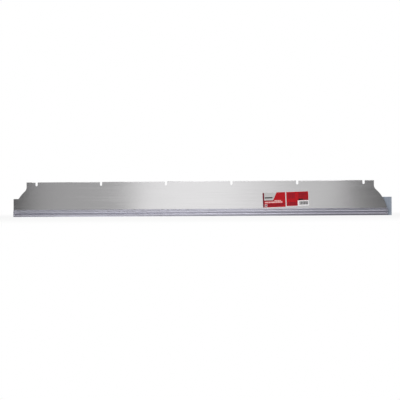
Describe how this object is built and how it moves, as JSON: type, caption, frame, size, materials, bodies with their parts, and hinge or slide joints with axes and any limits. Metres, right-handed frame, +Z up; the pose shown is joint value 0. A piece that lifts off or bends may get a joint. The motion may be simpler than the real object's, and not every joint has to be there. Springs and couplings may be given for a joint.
{
  "type": "atv plow blade",
  "caption": "Long low snow plow blade: hemmed stainless face sheet with open bolt slots and curved ends, double-bead edge moulding, sliding poly wear strip behind.",
  "frame": {"origin": "on the moulding's flat underside, at mid length, in line with the back of the face sheet", "axes": "+X along the blade to the right as seen from the front, -Y the way the face looks, +Z up to the slotted edge"},
  "size_m": [1.54, 0.0433, 0.142],
  "materials": {
    "stainless_sheet": "satin, brushed along its length",
    "anodised_aluminium": "bright satin anodised",
    "stainless_screw": "machined",
    "stainless_stud": "machined, with a heat tint at the weld",
    "zinc_plated_steel": "bright zinc plate",
    "blue_grey_polyethylene": "planed, faintly streaked",
    "galvanised_steel": "hot-dip galvanised",
    "nylon": "semi-matte",
    "printed_vinyl": "gloss laminate"
  },
  "bodies": {
    "blade": {"face_plate": "stainless_sheet", "edge_moulding": "anodised_aluminium", "moulding_screws": "stainless_screw", "weld_studs": "stainless_stud", "spacer_bushes": "zinc_plated_steel", "clamp_angle": "galvanised_steel", "stud_washers": "zinc_plated_steel", "stud_locknuts": "zinc_plated_steel", "locknut_inserts": "nylon", "front_label": "printed_vinyl", "info_label": "printed_vinyl"},
    "strip": {"wear_strip": "blue_grey_polyethylene"}
  },
  "joints": [
    {"name": "strip_slide", "type": "slide", "parent": "blade", "child": "strip", "axis": [1, 0, 0], "range_m": [-0.016, 0.064]}
  ]
}
